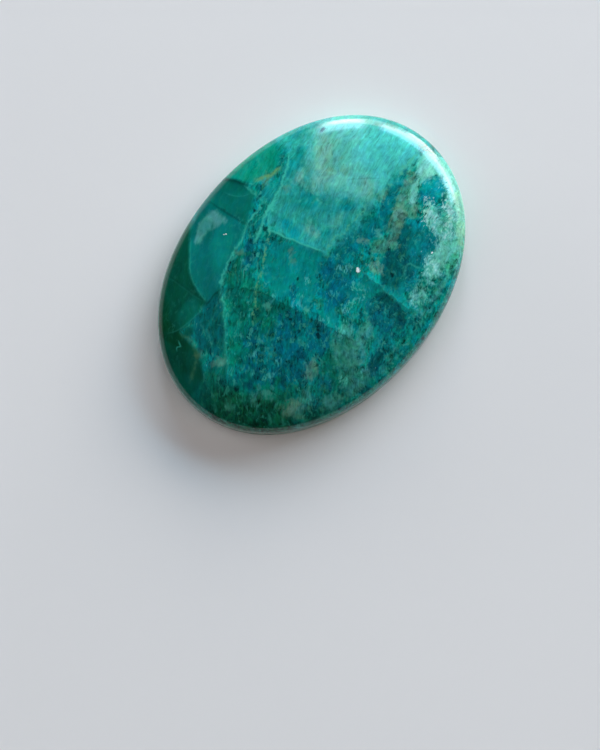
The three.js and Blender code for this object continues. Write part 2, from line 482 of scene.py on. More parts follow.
        "patches": [(-12.2, 7.2, 2.0, 1.1, 0, 1.0), (-18.8, 1.6, 1.6, 4.0, 10, 1.0)],
    },
    # partly the stone's own dark olive, partly painted shade along the left and upper edges, where
    # the shoulder turns away from the light
    "oliveShade": {
        "colour": srgb(4, 70, 36), "second": srgb(0, 66, 40), "ragged": 0.3, "fine": 0.1,
        "grain": 0.2, "cover": 0.7, "edge": 0.5,
        "patches": [(-15.5, 6.6, 0.9, 2.4, 0, 1.0), (-14.0, 9.6, 2.8, 1.0, 45, 0.8)],
    },
    "milk": {
        "colour": srgb(96, 170, 160), "second": srgb(70, 154, 142), "ragged": 1.3, "fine": 0.5,
        "grain": 0.25, "cover": 0.6, "edge": 0.8,
        "patches": [(-4.8, 12.0, 1.5, 0.5, 28, 1.1), (-2.7, 12.1, 1.0, 0.7, 0, 0.9),
                    (-3.6, 11.3, 1.4, 0.4, -10, 0.6), (-2.2, 11.0, 0.5, 0.7, 0, 0.5)],
    },
}

# Healed cracks and seams, named for what they look like. pale is the line itself, warm how much of
# it is yellowish, glow painted light, a sheen as if caught on the crack, on one side of it over
# reach mm (side 1 is to the left of the way the points run), shade painted shade on the other side,
# dark a dark line, wander how far the line strays from the smooth one, beads how broken it is.
seams = {
    "cellEdge": {"points": [(-5.8, 12.7), (-9.05, 9.85), (-10.0, 7.9), (-10.45, 6.1)],
                 "pale": 0.16, "width": 0.1, "paintedGlow": 0.42, "reach": 1.8, "paintedShade": 0.1},
    "cellEdgeShadow": {"points": [(-10.9, 12.4), (-10.8, 10.5), (-10.75, 8.0), (-10.5, 6.2)],
                       "pale": 0.05, "dark": 0.25, "width": 0.12},
    "cellFloor": {"points": [(-15.8, 7.6), (-14.6, 6.7), (-12.5, 6.25), (-10.45, 6.15)],
                  "pale": 0.12, "width": 0.09, "paintedGlow": 0.3, "reach": 1.6},
    "cellFloorDark": {"points": [(-11.2, 6.2), (-10.4, 6.15), (-9.2, 6.15), (-8.1, 6.0)],
                      "dark": 0.6, "width": 0.14, "paintedShade": 0.35, "reach": 1.0},
    "longSeamLow": {"points": [(-15.2, -1.2), (-14.2, 0.1), (-13.0, 1.4), (-11.0, 3.2),
                               (-9.5, 4.8), (-8.0, 6.25)],
                    "pale": 0.35, "width": 0.2, "paintedGlow": 0.8, "reach": 0.6, "side": -1,
                    "paintedShade": 0.2, "wander": 0.25, "beads": 0.4},
    "longSeamHigh": {"points": [(-8.4, 5.9), (-7.6, 6.6), (-6.4, 7.1), (-4.2, 7.6), (-2.4, 7.95),
                                (-1.3, 8.35), (0.3, 8.6), (2.2, 8.8)],
                     "pale": 0.75, "width": 0.15, "paintedGlow": 0.3, "reach": 0.7,
                     "paintedShade": 0.3, "wander": 0.35, "beads": 0.5},
    "cloudEdge": {"points": [(-1.55, 14.4), (-1.45, 12.5), (-1.3, 10.2), (-1.1, 8.2)],
                  "dark": 0.55, "width": 0.18, "paintedGlow": 0.1, "reach": 1.0, "side": -1},
    "greenEdge": {"points": [(1.5, 14.6), (2.1, 12.9), (2.4, 11.8), (2.3, 11.0)],
                  "dark": 0.75, "width": 0.25, "paintedGlow": 0.15, "reach": 1.2,
                  "paintedShade": 0.35},
    "greenEdgeLow": {"points": [(2.35, 11.9), (2.2, 10.2), (2.1, 8.8), (2.05, 7.4), (1.9, 6.0)],
                     "pale": 0.5, "width": 0.13, "wander": 0.25, "beads": 0.6},
    "clearArc": {"points": [(0.3, 13.2), (0.6, 11.9), (1.2, 11.0), (2.2, 10.4)],
                 "pale": 0.12, "width": 0.08, "paintedGlow": 0.14, "reach": 0.9},
    "brightSeam": {"points": [(-0.2, 6.9), (0.2, 5.5), (0.85, 3.4), (1.5, 1.5), (1.95, 0.0)],
                   "pale": 0.95, "width": 0.12, "paintedGlow": 0.35, "reach": 1.3,
                   "paintedShade": 0.25, "wander": 0.2, "beads": 0.25},
    "brightSeamLow": {"points": [(1.85, 0.5), (2.1, -1.0), (2.6, -2.6), (2.95, -4.3), (3.0, -6.2)],
                      "pale": 0.28, "width": 0.12, "paintedGlow": 0.15, "reach": 0.8,
                      "wander": 0.3, "beads": 0.8},
    "lowBand": {"points": [(2.95, -4.6), (3.05, -6.5), (3.0, -8.5), (3.15, -10.6), (3.6, -11.6)],
                "pale": 0.2, "width": 0.16, "paintedGlow": 0.45, "reach": 0.8,
                "paintedShade": 0.3, "wander": 0.3, "beads": 0.6},
    "darkCrack": {"points": [(-8.2, 6.0), (-6.9, 4.5), (-6.1, 3.0), (-5.6, 1.4), (-5.25, -0.4),
                             (-4.8, -2.2), (-4.45, -3.9), (-4.0, -6.2), (-3.3, -9.2)],
                  "dark": 0.45, "width": 0.12, "paintedGlow": 0.3, "reach": 1.2,
                  "paintedShade": 0.25, "wander": 0.35, "beads": 0.7},
    "strandHigh": {"points": [(-2.3, 6.5), (0.0, 7.2), (2.0, 7.9), (4.0, 8.25), (5.4, 8.8),
                              (7.0, 9.5), (8.6, 10.5)],
                   "pale": 0.95, "width": 0.16, "dark": 0.3, "wander": 0.3, "beads": 0.3},
    "strandLow": {"points": [(-0.6, 5.7), (0.3, 6.5), (1.4, 7.3), (3.0, 7.7), (4.4, 7.9)],
                  "pale": 0.8, "width": 0.15, "wander": 0.35, "beads": 0.4},
    "strandLevel": {"points": [(-1.4, 8.1), (0.0, 7.9), (1.2, 7.75), (3.4, 8.1)],
                    "pale": 0.5, "width": 0.12, "wander": 0.3, "beads": 0.4},
    "goldStrand": {"points": [(3.2, 11.3), (3.9, 10.9), (4.6, 10.35), (5.6, 10.0), (6.6, 9.9)],
                   "pale": 0.7, "width": 0.2, "wander": 0.25, "beads": 0.3, "warm": 1.0},
    "dottedSeam": {"points": [(-9.4, 0.6), (-7.6, 1.8), (-6.2, 2.8), (-5.0, 3.45), (-3.7, 3.9),
                              (-2.5, 4.8), (-1.2, 5.4), (0.1, 6.3)],
                   "pale": 0.75, "width": 0.13, "wander": 0.5, "beads": 1.0, "warm": 0.6},
    "zoneEdge": {"points": [(1.9, 0.3), (3.0, 0.15), (4.6, -0.1), (7.2, -0.3), (10.0, -0.1),
                            (12.0, -0.4), (13.2, -0.9), (15.0, -0.5), (18.0, -0.4)],
                 "pale": 0.75, "width": 0.18, "wander": 0.6, "beads": 0.9, "warm": 0.3},
    "leftSeam": {"points": [(-14.9, 6.4), (-14.7, 4.9), (-15.2, 3.8), (-16.4, 2.8), (-18.6, 2.0)],
                 "pale": 0.22, "width": 0.2, "wander": 0.3, "beads": 0.5, "warm": 0.7,
                 "dark": 0.15},
    "fanA": {"points": [(2.6, 1.4), (3.5, 2.4), (4.8, 3.3)],
             "pale": 0.5, "width": 0.1, "wander": 0.2, "beads": 0.4},
    "fanB": {"points": [(4.0, 2.3), (4.6, 1.4), (5.3, 0.5)],
             "pale": 0.5, "width": 0.1, "wander": 0.2, "beads": 0.4},
    "lightCrack": {"points": [(9.6, 3.6), (11.2, 2.0), (12.6, 0.4)],
                   "dark": 0.2, "width": 0.09, "paintedGlow": 0.06, "reach": 1.0},
    "paleArc": {"points": [(5.4, -8.6), (6.1, -8.0), (6.9, -7.8), (7.35, -8.7), (7.6, -9.6)],
                "pale": 0.4, "width": 0.14, "wander": 0.25, "beads": 0.3},
    "scratch": {"points": [(-16.6, 5.3), (-16.2, 5.6), (-15.9, 5.4), (-15.5, 6.1)],
                "pale": 0.5, "width": 0.07},
}

seamStart = {"pale": 0.0, "width": 0.12, "paintedGlow": 0.0, "reach": 1.0, "side": 1, "paintedShade": 0.0,
             "dark": 0.0, "wander": 0.08, "beads": 0.0, "warm": 0.0}

# Small spots: x, y, radius
# the first two are a pale fleck with a painted glint on it, the third a painted glint, the last two a
# pale scratch
glintsAndPaleFlecks = [(2.76, -4.14, 0.19), (2.86, -3.92, 0.14), (9.65, -8.95, 0.09), (-3.5, 9.62, 0.1),
              (-3.25, 9.5, 0.08)]
darkPits = [(-0.1, 6.7, 0.28), (-15.5, -2.2, 0.25), (-2.1, 0.4, 0.18), (-0.5, -1.25, 0.2),
            (-6.0, -1.95, 0.18), (-5.5, -5.4, 0.28), (-4.8, -4.7, 0.22), (-8.2, -7.2, 0.2),
            (-16.0, -6.9, 0.25), (12.75, 9.3, 0.26), (4.8, -7.2, 0.14), (-9.8, -4.6, 0.2),
            (-5.0, -5.0, 0.2), (6.8, -5.2, 0.2), (-8.6, -2.4, 0.16)]
brownSpots = [(4.9, 7.8, 0.4), (12.0, 8.7, 0.6), (-4.0, 7.05, 0.3), (4.3, 10.3, 0.5),
              (-15.3, 3.3, 0.4), (9.6, 5.5, 0.25), (10.6, 4.2, 0.4), (11.4, 5.4, 0.3)]
paleSpots = [(-9.9, -1.0, 0.28), (-14.4, 0.8, 0.4), (-6.5, 1.0, 0.3), (-4.2, -2.6, 0.22),
             (-13.9, -5.2, 0.4), (7.4, -3.2, 0.3)]


# A seam's field runs this many mm to its sides, and its ends fade out over fadeOut mm, or over
# this share of a short seam
seamReach = {"margin": 6.0, "fadeOut": 0.8, "fadeShare": 0.25}

# A mineral's field: far outside it, in the middle of a patch of strength 1, on the edge and at
# most, and how steeply a patch falls off at its rim
fieldLevels = {"outside": -0.7, "middle": 1.0, "edge": 0.5, "most": 1.5, "steepness": 4}


def smoothLine(points, pieces=5):
    # a curve through the given points
    ends = [np.array(p, float) for p in points]
    ends = [2 * ends[0] - ends[1]] + ends + [2 * ends[-1] - ends[-2]]
    line = []
    for a, b, c, d in zip(ends, ends[1:], ends[2:], ends[3:]):
        for i in range(pieces):
            t = i / pieces
            line.append(0.5 * (2 * b + (c - a) * t + (2 * a - 5 * b + 4 * c - d) * t ** 2
                               + (3 * b - a - 3 * c + d) * t ** 3))
    line.append(ends[-2])
    return np.array(line)


def nearLine(flat, line):
    # for each place: distance to the line, which side of it, and how far along the nearest point is
    best = np.full(len(flat), np.inf)
    side = np.ones(len(flat))
    along = np.zeros(len(flat))
    travelled = 0.0
    for a, b in zip(line, line[1:]):
        step = b - a
        length = math.hypot(*step)
        off = flat - a
        t = np.clip(off @ step / length ** 2, 0, 1)
        distance = np.hypot(*(off - t[:, None] * step).T)
        nearer = distance < best
        best = np.where(nearer, distance, best)
        cross = step[0] * off[:, 1] - step[1] * off[:, 0]
        side = np.where(nearer, np.where(cross >= 0, 1.0, -1.0), side)
        along = np.where(nearer, travelled + t * length, along)
        travelled += length
    return best, side, along, travelled


def seamField(flat, seam):
    # signed distance, place along the line, and strength, which fades out at the ends
    line = smoothLine(seam["points"])
    margin = seamReach["margin"]
    near = np.all((flat > line.min(0) - margin) & (flat < line.max(0) + margin), axis=1)
    field = np.tile((margin, 0.0, 0.0), (len(flat), 1))
    distance, side, along, total = nearLine(flat[near], line)
    fade = min(seamReach["fadeOut"], total * seamReach["fadeShare"])
    strength = np.clip(np.minimum(along, total - along) / fade, 0, 1)
    field[near] = np.column_stack([distance * side, along, strength])
    return field


def mineralField(flat, mineral):
    # above a half inside a patch or an outlined zone, and below it outside
    outside, edge = fieldLevels["outside"], fieldLevels["edge"]
    lift = fieldLevels["middle"] - outside
    field = np.full(len(flat), outside)
    for x, y, halfLength, halfWidth, turn, strength in mineral["patches"]:
        c, s = math.cos(math.radians(turn)), math.sin(math.radians(turn))
        dx, dy = flat[:, 0] - x, flat[:, 1] - y
        reach = np.hypot((dx * c + dy * s) / halfLength, (dy * c - dx * s) / halfWidth)
        field += lift * strength / (1 + reach ** fieldLevels["steepness"])
    if mineral["outline"]:
        corners = [np.array(p, float) for p in mineral["outline"]]
        ring = np.array(corners + corners[:1])
        distance = nearLine(flat, ring)[0]
        inside = np.zeros(len(flat), bool)
        for a, b in zip(ring, ring[1:]):
            crosses = (a[1] > flat[:, 1]) != (b[1] > flat[:, 1])
            with np.errstate(divide="ignore", invalid="ignore"):
                at = a[0] + (flat[:, 1] - a[1]) / (b[1] - a[1]) * (b[0] - a[0])
            inside ^= crosses & (flat[:, 0] < at)
        signed = np.where(inside, distance, -distance)
        field = np.maximum(field, edge + edge * signed / mineral["outlineSoftness"])
    return np.clip(field, outside, fieldLevels["most"])


def writeAttribute(mesh, name, values):
    kind = "FLOAT" if values.ndim == 1 else "FLOAT_VECTOR"
    attribute = mesh.attributes.new(name, kind, "POINT")
    key = "value" if values.ndim == 1 else "vector"
    attribute.data.foreach_set(key, values.astype(np.float32).ravel())


def rimWearAndSheenField(points, inset):
    # 1 on the rim between dome and girdle, fading inwards over the dome and down the girdle;
    # on the dome's side it is strongest towards one side of the stone, and that one-sided part is
    # painted reflection, the pale floor and lamps caught on the edge
    height = points[:, 2]
    below = np.maximum(stone["girdleTop"] - height, 0)
    onGirdle = np.clip(below / rimWearAndSheen["width"], 0, 1)
    turn = np.arctan2(points[:, 1], points[:, 0]) - math.radians(rimWearAndSheen["sheenSide"])
    # painted reflection: on the dome the pale rim grows towards one side of the stone
    onDome = rimWearAndSheen["leastWearAndSheen"] + (1 - rimWearAndSheen["leastWearAndSheen"]) * (0.5 + 0.5 * np.cos(turn)) ** 2
    top = np.exp(-(np.maximum(inset, 0) / rimWearAndSheen["width"]) ** 2 - (below / rimWearAndSheen["down"]) ** 2)
    top *= onDome * (1 - onGirdle) + (1 - rimWearAndSheen["girdleLess"]) * onGirdle
    bevelTop = np.exp(-((height - stone["backBevel"]) / rimWearAndSheen["width"]) ** 2)
    return np.maximum(top, rimWearAndSheen["bevelShare"] * bevelTop)


def writePattern(mesh, points, depth):
    flat = points[:, :2] + np.outer(depth, pattern["dip"])
    below = np.maximum(pattern["textureTop"] - points[:, 2], 0)
    writeAttribute(mesh, "place", np.column_stack([flat, below]))
    off = flat - np.array(pattern["fibreCentre"])
    ring = np.hypot(*off.T)
    arc = np.arctan2(off[:, 1], off[:, 0]) * pattern["fibreRadius"]
    writeAttribute(mesh, "fibre", np.column_stack([ring, arc, below]))
    for name, mineral in minerals.items():
        writeAttribute(mesh, name, mineralField(flat, {**mineralStart, **mineral}))
    for name, seam in seams.items():
        writeAttribute(mesh, name, seamField(flat, seam))
    # the polish gives way to a ground finish over the upper part of the girdle
    groundFrom, over = stone["girdleTop"], stone["girdleTop"] * polish["groundOver"]
    writeAttribute(mesh, "ground", np.clip((groundFrom - points[:, 2]) / over, 0, 1))


# Material

ground = {"colour": srgb(0, 140, 132), "second": srgb(0, 122, 114), "grain": 1.0, "streak": 0.8}
seamColours = {"pale": srgb(58, 186, 162), "warm": srgb(108, 162, 92), "dark": srgb(0, 48, 42)}
# lengths in mm: how far wander moves a line, the step from its painted shade to its painted light,
# and how far a dark line lies beside a pale one; beadStep is the crumbs' level that breaks a line up
seamLook = {"strayReach": 1.5, "litStep": 0.06, "darkBeside": 0.12, "beadStep": 0.24}
# softness and ragged are shares of a spot's radius
spots = {
    "brown": {"places": brownSpots, "colour": srgb(104, 136, 92), "softness": 1.0, "ragged": 1.6,
              "cover": 0.32},
    "pale": {"places": paleSpots, "colour": srgb(96, 196, 174), "softness": 1.0, "ragged": 2.6,
             "cover": 0.35},
    "pit": {"places": darkPits, "colour": srgb(0, 36, 42), "softness": 0.7, "ragged": 2.0,
            "cover": 0.85},
    # near-white pale flecks and painted glints, highlights put into the colour
    "glintAndFleck": {"places": glintsAndPaleFlecks, "colour": srgb(246, 252, 250), "softness": 0.3, "ragged": 0.5,
              "cover": 0.95},
}
spotShake = 0.9  # mm
# The rim is worn pale over width and this far down the girdle, in mm, girdleLess of it is gone on
# the girdle, and the bevel's edge has bevelShare of it. On the dome the pale rim is partly painted
# reflection, the floor and lamps caught on the edge: it is strongest at the side whose angle is given
# in degrees from +X, and its least share is left opposite. chips are the crumbs' levels between which
# its cover rises from leastCover of itself to all of it.
rimWearAndSheen = {"colour": srgb(196, 226, 220), "width": 0.14, "down": 0.7, "girdleLess": 0.55,
           "cover": 0.8, "bevelShare": 0.6, "sheenSide": 105, "leastWearAndSheen": 0.25,
           "chips": (-0.4, 0.1), "leastCover": 0.5}
polish = {"dome": 0.14, "back": 0.5, "ior": 1.55,
          "groundOver": 0.5}  # share of the girdle's height

# The textures that run all through the stone, in mm across and along the fibres and down from
# textureTop. shift keeps them apart, so that no two share a pattern.
noises = {
    "cloud": {"across": 1.5, "along": 2.4, "deep": 1.5, "detail": 3.0, "shift": 2.0},
    "mottle": {"across": 0.8, "along": 1.3, "deep": 0.8, "detail": 3.0, "shift": 0.0},
    "crumb": {"across": 0.4, "along": 0.6, "deep": 0.4, "detail": 2.0, "shift": 5.0},
    "brush": {"across": 0.15, "along": 0.46, "deep": 0.2, "detail": 2.0, "shift": 9.0},
    "streak": {"across": 0.17, "along": 1.8, "deep": 0.3, "detail": 2.0, "shift": 11.0},
    "thread": {"across": 0.9, "along": 1.6, "deep": 0.9, "detail": 2.0, "roughness": 0.5,
               "shift": 14.0},
}
shiftParts = (1.0, 1.7, 0.6)  # of a texture's shift, across, along and down
# the fibres bend by up to half of reach, in mm, and seams and spots stray with a finer noise
bend = {"noise": {"across": 3.0, "along": 3.0, "deep": 3.0, "detail": 2.0, "roughness": 0.6},
        "reach": 1.0}
strayNoise = {"across": 0.9, "along": 0.9, "deep": 1.0, "detail": 3.0, "roughness": 0.65}
# clouds and mottles switch from one side to the other over twice these levels
flatStep = {"cloud": 0.2, "mottle": 0.18}
# How far each texture lightens and darkens the stone, the darkest that it may get, and how far
# mottles turn it to blue or green: green changes by greenShare as much, and calm parts by
# calmShare of it.
swing = {"brush": 1.0, "streak": 0.5, "crumb": 0.8, "mottle": 0.3, "darkest": 0.15, "hue": 0.1,
         "greenShare": 0.4, "calmShare": 0.4}
# pale and dark crumbs strewn through the lively parts: the texture's level, -1 to 1, where they
# begin and where they are full, and how much they cover
crumbs = {
    "pale": {"colour": srgb(66, 182, 158), "from": 0.12, "full": 0.34, "cover": 0.55},
    "dark": {"colour": srgb(0, 52, 60), "from": 0.2, "full": 0.4, "cover": 0.75},
}
# fine threads, where the thread texture is within width of its middle
threads = [{"colour": srgb(60, 176, 150), "width": 0.11, "cover": 0.5, "lieIn": "mottle"},
           {"colour": srgb(56, 146, 96), "width": 0.1, "cover": 0.35, "lieIn": "cloud"}]
# both lie in groups, from the first to the second level of a coarser texture
groups = {"crumbs": (-0.15, 0.25), "threads": (-0.05, 0.25)}


def readAttribute(tree, name, output):
    node = tree.nodes.new("ShaderNodeAttribute")
    node.attribute_name = name
    return node.outputs[output]


def shifted(tree, vector, noiseColour, reach):
    # the vector moved about by a noise
    node = tree.nodes.new("ShaderNodeVectorMath")
    node.operation = "MULTIPLY_ADD"
    feed(tree, node.inputs[0], noiseColour)
    node.inputs[1].default_value = (reach, reach, 0.0)
    feed(tree, node.inputs[2], vector)
    return node.outputs[0]


def noise(tree, vector, across, along, deep, detail, roughness=0.55, shift=0.0):
    sized = tree.nodes.new("ShaderNodeVectorMath")
    sized.operation = "MULTIPLY_ADD"
    feed(tree, sized.inputs[0], vector)
    sized.inputs[1].default_value = (1 / across, 1 / along, 1 / deep)
    sized.inputs[2].default_value = [shift * part for part in shiftParts]
    node = tree.nodes.new("ShaderNodeTexNoise")
    node.inputs["Scale"].default_value = 1.0
    node.inputs["Detail"].default_value = detail
    node.inputs["Roughness"].default_value = roughness
    feed(tree, node.inputs["Vector"], sized.outputs[0])
    return node.outputs["Color"]


def channels(tree, colour):
    # three textures from one, each running from -1 to 1 round the middle
    node = tree.nodes.new("ShaderNodeSeparateColor")
    feed(tree, node.inputs[0], colour)
    return [calc(tree, "MULTIPLY_ADD", output, 2.0, -1.0) for output in node.outputs]


def smoothStep(tree, value, low, high, atLow=0.0, atHigh=1.0):
    node = tree.nodes.new("ShaderNodeMapRange")
    node.interpolation_type = "SMOOTHSTEP"
    for socket, number in zip(node.inputs, (value, low, high, atLow, atHigh)):
        feed(tree, socket, number)
    return node.outputs[0]


def mixColour(tree, share, a, b, blend="MIX"):
    node = tree.nodes.new("ShaderNodeMix")
    node.data_type = "RGBA"
    node.blend_type = blend
    feed(tree, node.inputs[0], share)
    feed(tree, node.inputs[6], a)
    feed(tree, node.inputs[7], b)
    return node.outputs[2]


def mixNumber(tree, share, a, b):
    node = tree.nodes.new("ShaderNodeMix")
    for socket, value in zip(node.inputs[:1] + node.inputs[2:4], (share, a, b)):
        feed(tree, socket, value)
    return node.outputs[0]


def spread(tree, *values):
    # one number, or one for each of red, green and blue, as a colour
    node = tree.nodes.new("ShaderNodeCombineColor")
    for i, socket in enumerate(node.inputs):
        feed(tree, socket, values[i % len(values)])
    return node.outputs[0]


def bell(tree, distance, width):
    # 1 on a line, falling off to both sides
    share = calc(tree, "DIVIDE", distance, width)
    return calc(tree, "EXPONENT", calc(tree, "MULTIPLY", calc(tree, "MULTIPLY", share, share), -1.0))


def layMinerals(tree, textures):
    # each mineral covers the ones before it, with an edge broken up by the textures
    step, middle = flatStep["cloud"], fieldLevels["edge"]
    cloud = [smoothStep(tree, c, -step, step) for c in textures["cloud"]]
    colour = mixColour(tree, cloud[0], ground["colour"], ground["second"])
    grain, streak = ground["grain"], ground["streak"]
    for i, (name, given) in enumerate(minerals.items()):
        mineral = {**mineralStart, **given}
        value = readAttribute(tree, name, "Fac")
        value = calc(tree, "MULTIPLY_ADD", textures["mottle"][i % 3], mineral["ragged"], value)
        value = calc(tree, "MULTIPLY_ADD", textures["crumb"][(i + 1) % 3], mineral["fine"], value)
        if mineral["crisp"]:
            value = calc(tree, "MULTIPLY_ADD", textures["brush"][1], mineral["crisp"], value)
        share = smoothStep(tree, value, middle - mineral["edge"], middle + mineral["edge"],
                           0.0, mineral["cover"])
        own = mixColour(tree, cloud[(i + 1) % 3], mineral["colour"], mineral["second"])
        colour = mixColour(tree, share, colour, own)
        grain = mixNumber(tree, share, grain, mineral["grain"])
        streak = mixNumber(tree, share, streak, mineral["streak"])
    return colour, grain, streak


def layGrain(tree, colour, grain, streak, textures):
    # fibres and crumbs lighten and darken the minerals; flat patches with clear edges do too,
    # and turn them to blue or green
    step = flatStep["mottle"]
    patches = [smoothStep(tree, c, -step, step, -1.0, 1.0) for c in textures["mottle"]]
    sway = calc(tree, "MULTIPLY", textures["crumb"][0], swing["crumb"])
    sway = calc(tree, "MULTIPLY_ADD", textures["brush"][0], swing["brush"], sway)
    sway = calc(tree, "MULTIPLY_ADD", patches[1], swing["mottle"], sway)
    fibres = calc(tree, "MULTIPLY", textures["streak"][0], swing["streak"])
    gain = calc(tree, "MULTIPLY_ADD", sway, grain, calc(tree, "MULTIPLY_ADD", fibres, streak, 1.0))
    gain = calc(tree, "MAXIMUM", gain, swing["darkest"])
    calm = swing["calmShare"]
    turn = calc(tree, "MULTIPLY", calc(tree, "MULTIPLY", patches[2], swing["hue"]),
                calc(tree, "MULTIPLY_ADD", grain, 1 - calm, calm))
    blue = calc(tree, "MULTIPLY", gain, calc(tree, "ADD", turn, 1.0))
    green = calc(tree, "MULTIPLY", gain, calc(tree, "MULTIPLY_ADD", turn, -swing["greenShare"], 1.0))
    colour = mixColour(tree, 1.0, colour, spread(tree, gain, green, blue), "MULTIPLY")
    for i, look in enumerate(crumbs.values()):
        share = smoothStep(tree, textures["crumb"][i + 1], look["from"], look["full"],
                           0.0, look["cover"])
        where = smoothStep(tree, textures["cloud"][i], *groups["crumbs"])
        share = calc(tree, "MULTIPLY", calc(tree, "MULTIPLY", share, where), grain)
        colour = mixColour(tree, share, colour, look["colour"])
    for i, look in enumerate(threads):
        share = smoothStep(tree, calc(tree, "ABSOLUTE", textures["thread"][i]), 0.0, look["width"],
                           look["cover"], 0.0)
        where = smoothStep(tree, textures[look["lieIn"]][i], *groups["threads"])
        share = calc(tree, "MULTIPLY", calc(tree, "MULTIPLY", share, where), grain)
        colour = mixColour(tree, share, colour, look["colour"])
    return colour


def laySeams(tree, colour, textures):
    # the painted light and painted shade beside the seams, then their dark, pale and yellowish lines
    gain, pale, warm, dark = 1.0, 0.0, 0.0, 0.0
    bead, lit = seamLook["beadStep"], seamLook["litStep"]
    for i, (name, given) in enumerate(seams.items()):
        seam = {**seamStart, **given}
        parts = tree.nodes.new("ShaderNodeSeparateXYZ")
        feed(tree, parts.inputs[0], readAttribute(tree, name, "Vector"))
        distance, strength = parts.outputs[0], parts.outputs[2]
        distance = calc(tree, "MULTIPLY_ADD", textures["stray"][i % 3],
                        seamLook["strayReach"] * seam["wander"], distance)
        if seam["beads"]:
            beads = smoothStep(tree, textures["crumb"][i % 3], -bead, bead, 1 - seam["beads"], 1.0)
            strength = calc(tree, "MULTIPLY", strength, beads)
        line = calc(tree, "MULTIPLY", bell(tree, distance, seam["width"]), strength)
        # painted light on one side of the seam and painted shade on the other, fading over reach mm
        if seam["paintedGlow"] or seam["paintedShade"]:
            away = calc(tree, "DIVIDE", calc(tree, "ABSOLUTE", distance), -seam["reach"])
            near = calc(tree, "MULTIPLY", calc(tree, "EXPONENT", away), parts.outputs[2])
            toLight = calc(tree, "MULTIPLY", distance, float(seam["side"]))
            lift = smoothStep(tree, toLight, -lit, lit, -seam["paintedShade"], seam["paintedGlow"])
            gain = calc(tree, "MULTIPLY_ADD", near, lift, gain)
        if seam["pale"]:
            shown = seam["pale"] * (1 - seam["warm"])
            if shown:
                pale = calc(tree, "MULTIPLY_ADD", line, shown, pale)
            if seam["warm"]:
                warm = calc(tree, "MULTIPLY_ADD", line, seam["pale"] * seam["warm"], warm)
        if seam["dark"]:
            beside = calc(tree, "SUBTRACT", distance, seamLook["darkBeside"] if seam["pale"] else 0.0)
            core = calc(tree, "MULTIPLY", bell(tree, beside, seam["width"]), strength)
            dark = calc(tree, "MULTIPLY_ADD", core, seam["dark"], dark)
    # the painted light and shade beside the seams are multiplied into the colour
    colour = mixColour(tree, 1.0, colour, spread(tree, gain), "MULTIPLY")
    colour = mixColour(tree, calc(tree, "MINIMUM", dark, 1.0), colour, seamColours["dark"])
    colour = mixColour(tree, calc(tree, "MINIMUM", pale, 1.0), colour, seamColours["pale"])
    return mixColour(tree, calc(tree, "MINIMUM", warm, 1.0), colour, seamColours["warm"])


def laySpots(tree, colour, place, textures):
    # the place is shaken a little, so that no spot is a true circle; the noise is half on average
    shaken = shifted(tree, place, textures["strayColour"], spotShake)
    for look in spots.values():
        cover = 0.0
        for x, y, radius in look["places"]:
            gap = tree.nodes.new("ShaderNodeVectorMath")
            gap.operation = "DISTANCE"
            feed(tree, gap.inputs[0], shaken)
            gap.inputs[1].default_value = (x + spotShake / 2, y + spotShake / 2, 0.0)
            reach = calc(tree, "MULTIPLY_ADD", textures["crumb"][1], look["ragged"] * radius,
                         gap.outputs["Value"])
            near = smoothStep(tree, reach, radius * (1 - look["softness"]),
                              radius * (1 + look["softness"]), look["cover"], 0.0)
            cover = calc(tree, "MAXIMUM", near, cover)
        colour = mixColour(tree, cover, colour, look["colour"])
    return colour


def stoneMaterial():
    material = bpy.data.materials.new("polishedShattuckite")
    material.use_nodes = True
    tree = material.node_tree
    shader = tree.nodes["Principled BSDF"]
    fibre = readAttribute(tree, "fibre", "Vector")
    place = readAttribute(tree, "place", "Vector")
    bent = shifted(tree, fibre, noise(tree, place, **bend["noise"]), bend["reach"])
    stray = noise(tree, place, **strayNoise)
    textures = {name: channels(tree, noise(tree, bent, **sizes)) for name, sizes in noises.items()}
    textures["strayColour"] = stray
    textures["stray"] = channels(tree, stray)
    colour, grain, streak = layMinerals(tree, textures)
    colour = layGrain(tree, colour, grain, streak, textures)
    colour = laySeams(tree, colour, textures)
    colour = laySpots(tree, colour, place, textures)
    # pale rim: wear on the girdle and bevel, and on the dome's edge partly painted reflection
    chips = smoothStep(tree, textures["crumb"][0], *rimWearAndSheen["chips"],
                       rimWearAndSheen["leastCover"] * rimWearAndSheen["cover"], rimWearAndSheen["cover"])
    chips = calc(tree, "MULTIPLY", chips, readAttribute(tree, "rim", "Fac"))
    colour = mixColour(tree, chips, colour, rimWearAndSheen["colour"])
    feed(tree, shader.inputs["Base Color"], colour)
    worn = readAttribute(tree, "ground", "Fac")
    feed(tree, shader.inputs["Roughness"], mixNumber(tree, worn, polish["dome"], polish["back"]))
    shader.inputs["IOR"].default_value = polish["ior"]
    return material


# Stage

# The floor has an opening hidden under the stone, so that the back can be seen from below. The
# flat back overlaps it by underStone mm all round. The floor's size is its radius in metres.
floorLook = {"colour": srgb(243, 234, 231), "roughness": 0.9, "specular": 0.25, "size": 6.0,
             "underStone": 0.35, "sides": 64}

